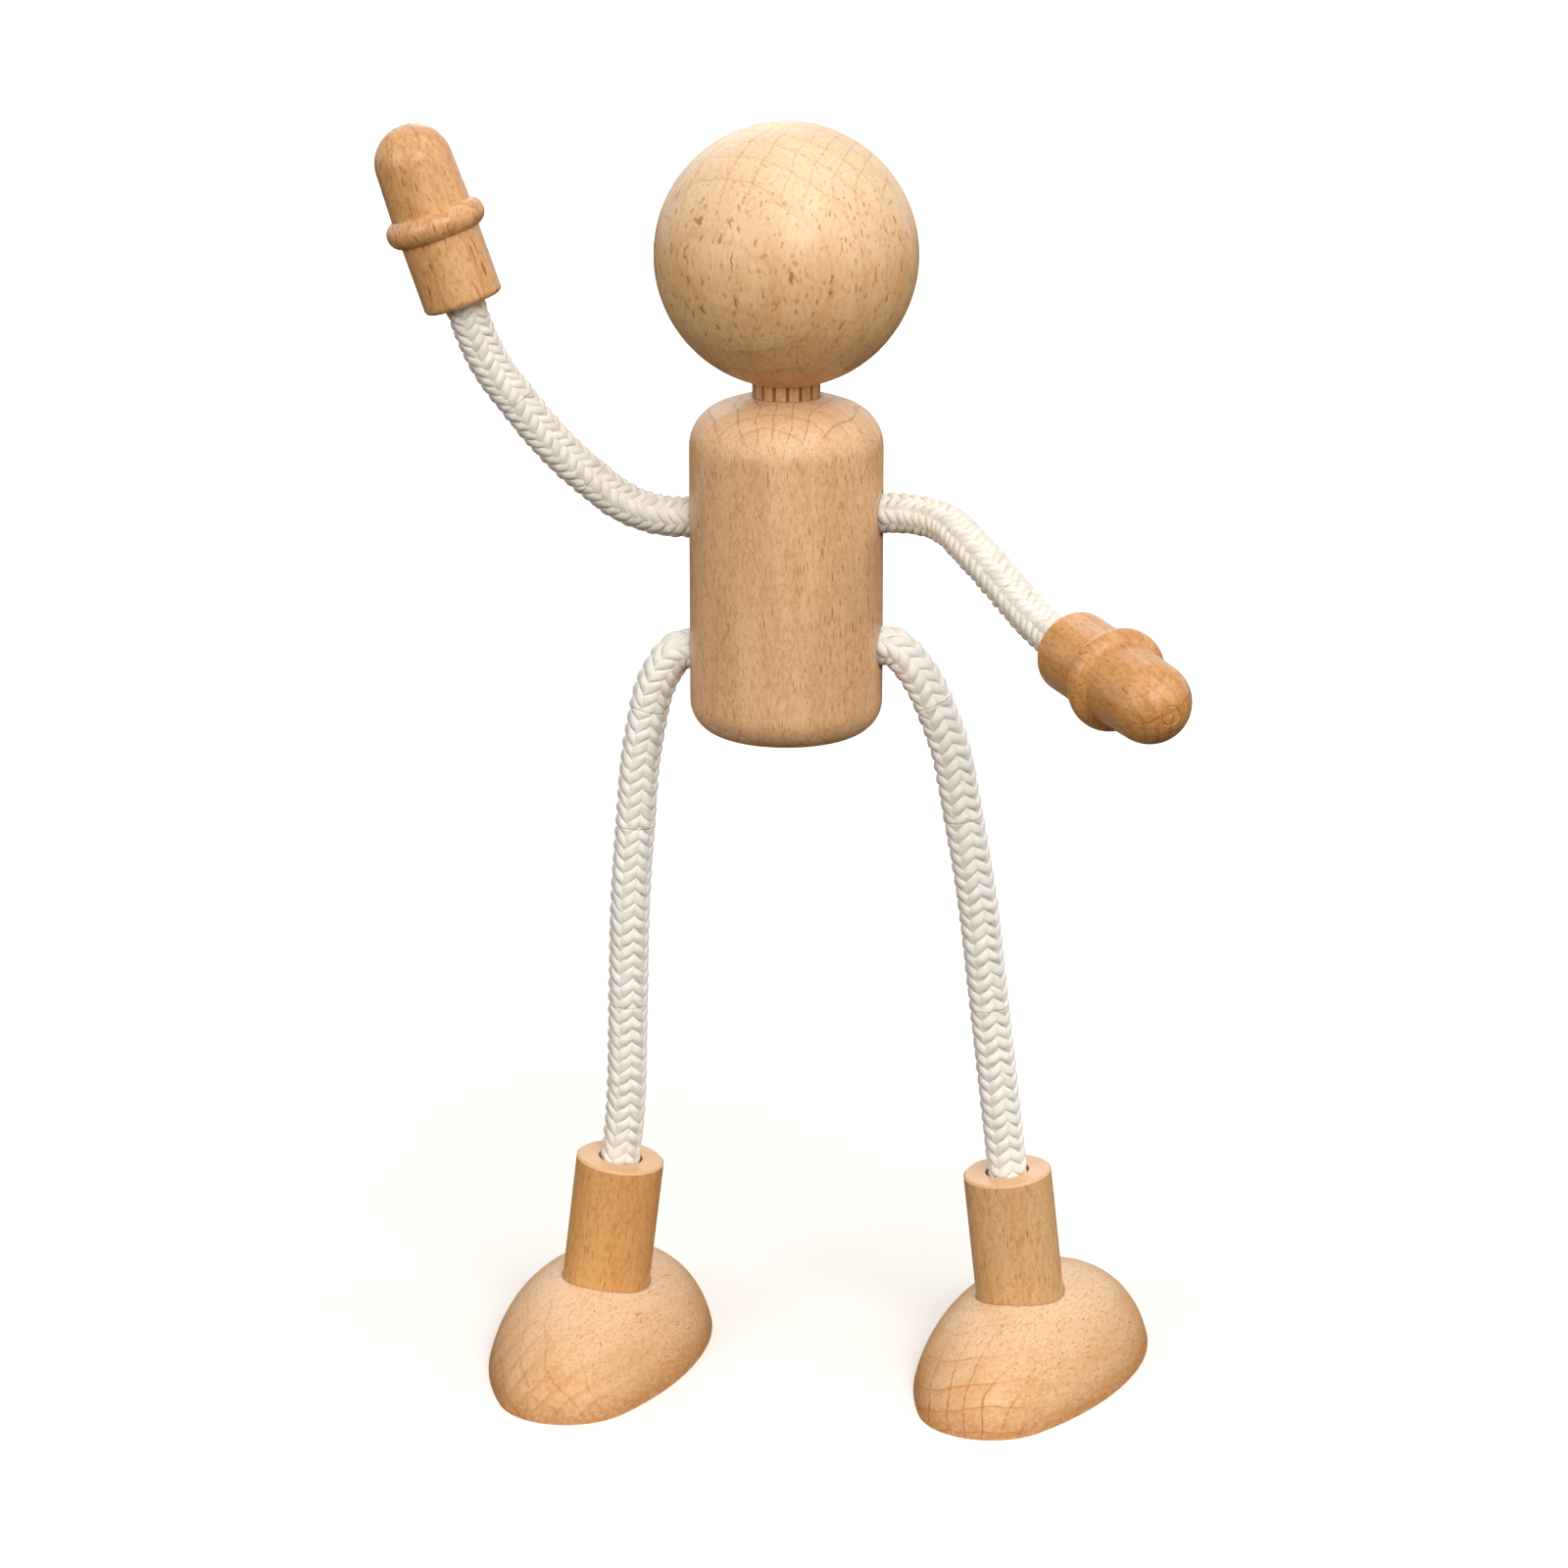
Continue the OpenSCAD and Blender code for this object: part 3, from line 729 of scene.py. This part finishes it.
# %% [markdown]
# The finish puts these marks over two tones of wood, from the broadest to the finest. The
# painted_light_heights are millimetres above the floor between which a tone fades: painted
# light makes a turned piece paler near its top, and painted shade makes it browner near its
# underside. A flat sole keeps its own colour.


# %% Beech
FIBRE = (3.4, 3.4, 0.3)
MOTTLE = (1.3, 1.3, 0.55)
BROAD = (0.16, 0.16, 0.03)


def beech(name, centre, pale, dark, fleck, turn=None, pith=(60, 25), ring=3.0,
          rings=0.5, flecks=0.6, fleck_size=1.0, lines=0.5, gap=4.5, contours=0.1,
          plaid=0.0, roughness=0.4, coat=0.25, shine=0.3, joints=(), flutes=None,
          top=None, painted_light_heights=()):
    """Turned beech. turn brings its grain upright, and joints get round lines of painted
    shade.
    """
    m = Wood(name, centre, turn or Matrix.Identity(3), pith)
    fibre = m.patches(FIBRE, 3.0, 0.65)
    mottle = m.patches(MOTTLE, 3.0, 0.65)
    broad = m.patches(BROAD)
    late, border = ring_marks(m, ring, contours)
    dash = ray_flecks(m, fleck_size)
    line = ray_lines(m, gap, mottle)

    colour = m.mix(m.ramp(broad, 0.3, 0.7, 0.0, 0.6), pale, dark)
    colour = m.mix(m.times(late, rings), colour, dark)
    colour = m.mix(net_fields(m, gap, ring, plaid), colour, dark)
    not_sole = m.ramp(m.split(m.normal)[2], -0.98, -0.9)
    # Painted light and shade by height: paler near the top, browner near the underside.
    for most, none, share, tone in painted_light_heights:
        up = m.times(m.split(m.place)[2], PER_METRE)
        painted_light_share = m.times(m.ramp(up, most, none, share, 0.0), not_sole)
        colour = m.mix(painted_light_share, colour, tone)
    colour = m.mix(m.ramp(fibre, 0.4, 0.72, 0.0, 0.35), colour, dark)
    colour = m.mix(m.ramp(mottle, 0.32, 0.6, 0.55, 0.0), colour, pale)
    colour = m.mix(m.ramp(mottle, 0.48, 0.68, 0.0, 0.5), colour, dark)
    colour = m.mix(m.times(line, lines), colour, fleck)
    colour = m.mix(m.times(border, lines), colour, fleck)
    colour = m.mix(m.times(dash, flecks), colour, fleck)
    if top:
        at, shade = top
        height = m.split(m.seen_from(at, m.turn))[2]
        colour = m.mix(m.ramp(height, 0.3, 0.7, 0.75, 0.0), colour, shade)
    # Painted shade round each joint.
    for joint in joints:
        colour = m.mix(m.times(near_joint(m, joint, 0.1, 0.6), 0.6), colour, JOINT_PAINTED_SHADE)
    # Painted shade in the flute grooves.
    if flutes:
        painted_groove_shade = near_joint(m, flutes, -0.22, -0.06)
        colour = m.mix(m.times(painted_groove_shade, 0.75), colour, FLUTE_PAINTED_SHADE)
    height = m.math("SUBTRACT", fibre, m.times(dash, 0.3))
    rough = m.ramp(fibre, 0.3, 0.7, roughness - 0.05, roughness + 0.08)
    return m.finish(Base_Color=colour, Roughness=rough, Specular_IOR_Level=shine,
                    Coat_Weight=coat, Coat_Roughness=0.3, Normal=m.bump(height, 0.00004))


# %% [markdown]
# The pieces come from different blanks, so each has its own tone and its own pith. The head
# and the body are pale, with bold flecks on the ball and upright grain on the body.


# %% Head, neck and body
def dress(node, material):
    """Gives a CAD node its finish."""
    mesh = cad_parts[node].data
    mesh.materials.clear()
    mesh.materials.append(material)


def centre_of(node):
    """The middle of a node's box, in millimetres."""
    low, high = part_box(node)
    return tuple((low + high) / 2 / MM)


NECK_R = 6.5
HOLE_R = 4.4
NO_TURN = Matrix.Identity(3)
neck_foot = (AXIS_X / MM, AXIS_Y / MM, BODY_TOP / MM)
# Lines of painted shade run round the neck's foot and the rope mouths.
neck_joint = (neck_foot, NO_TURN, NECK_R, 12)
mouths = [(LAID[limb][0][1], upright(LAID[limb][0][2]), HOLE_R, 5) for limb in LAID]
# The head gets painted shade on its underside and painted light near its top.
dress("head", beech(
    "head_beech", centre_of("head"), srgb(234, 196, 150), srgb(212, 161, 104),
    srgb(158, 92, 28), pith=(18, 36), ring=4.3, joints=[neck_joint], fleck_size=1.9,
    flecks=0.75, gap=4.0, rings=0.9, contours=0.3, lines=0.3, plaid=0.2, coat=0.35,
    painted_light_heights=[(199, 215, 0.6, srgb(192, 136, 78)), (246, 220, 0.6, srgb(246, 226, 198))]))
# The body gets painted light near its top.
dress("body", beech(
    "body_beech", centre_of("body"), srgb(234, 194, 149), srgb(206, 155, 107),
    srgb(158, 86, 24), pith=(2, -36), ring=4.0, joints=[neck_joint] + mouths, flecks=0.75,
    painted_light_heights=[(199, 186, 0.5, srgb(244, 214, 178))]))
dress("neck", beech(
    "neck_beech", centre_of("neck"), srgb(214, 176, 132), srgb(182, 133, 86),
    srgb(172, 110, 50), ring=2.0, flutes=(neck_foot, NO_TURN, NECK_R, 20)))
print("head, body and neck dressed,", len(mouths), "rope mouths")

# %% [markdown]
# The hands and the ankle dowels are more orange, and the hands are the glossiest. Their
# grain runs along the rope that they sit on, so the rope's last direction turns it. The
# top of an ankle dowel, cut across the grain, is paler.

# %% Hands and ankles
HAND_TONES = {
    "right": (srgb(224, 176, 122), srgb(187, 126, 68)),
    "left": (srgb(218, 164, 102), srgb(183, 118, 58)),
}
ANKLE_TONES = {
    "right": (srgb(237, 183, 117), srgb(209, 145, 80)),
    "left": (srgb(232, 190, 139), srgb(202, 151, 98)),
}
for side_name in ("right", "left"):
    node = "hand_" + side_name
    turn = upright(LAID["arm_" + side_name][-1][2])
    dress(node, beech(
        "hand_beech_" + side_name, centre_of(node), *HAND_TONES[side_name],
        srgb(150, 84, 32), turn=turn, pith=(16, -22), ring=2.2, coat=0.4, roughness=0.36,
        fleck_size=1.6, flecks=0.75, contours=0.5))
    node = "ankle_" + side_name
    end = LAID["leg_" + side_name][-1]
    dress(node, beech(
        "ankle_beech_" + side_name, centre_of(node), *ANKLE_TONES[side_name],
        srgb(166, 102, 44), turn=upright(end[2]), pith=(20, 30), ring=2.4, flecks=0.65,
        top=(end[1], srgb(228, 186, 142))))
    print("hand and ankle dressed:", side_name)

# %% [markdown]
# The feet are the palest, and the dullest. Their grain lies almost level, so that each
# front is cut across it and shows a net of rings and rays, which differs between the two.

# %% Feet
FOOT_GRAIN_DOWN = 95.0
FOOT_ROLL = 20.0
FOOT_SPIN = {"right": 45.0, "left": 4.0}
FOOT_LINES = {"right": 0.5, "left": 0.85}
ANKLE_R = 8.7
for side_name in ("right", "left"):
    node = "foot_" + side_name
    # A line of painted shade runs round the ankle dowel where it goes into the foot.
    end = LAID["leg_" + side_name][-1]
    lying = Matrix.Rotation(math.radians(FOOT_GRAIN_DOWN), 3, "X")
    lying = Matrix.Rotation(math.radians(FOOT_SPIN[side_name]), 3, "Z") @ lying
    lying = lying @ Matrix.Rotation(math.radians(FOOT_ROLL), 3, "Z")
    # The feet get painted shade near the sole and painted light near the top.
    dress(node, beech(
        "foot_beech_" + side_name, centre_of(node), srgb(230, 192, 148),
        srgb(214, 156, 98), srgb(186, 112, 52), turn=lying, pith=(6, 46), ring=3.6,
        lines=FOOT_LINES[side_name], flecks=0.75, rings=0.9, plaid=0.8, coat=0.1,
        shine=0.15, joints=[(end[1], upright(end[2]), ANKLE_R, 40)],
        painted_light_heights=[(0, 6, 0.85, srgb(190, 128, 70)), (19, 6, 0.85, srgb(248, 222, 190))]))
    print("foot dressed:", side_name)

# %% [markdown]
# The visual model has to stay inside the CAD model's box, apart from the little that
# braided strands stand proud. Last, the scene is brought up to date.

# %% Finish
bpy.context.view_layer.update()
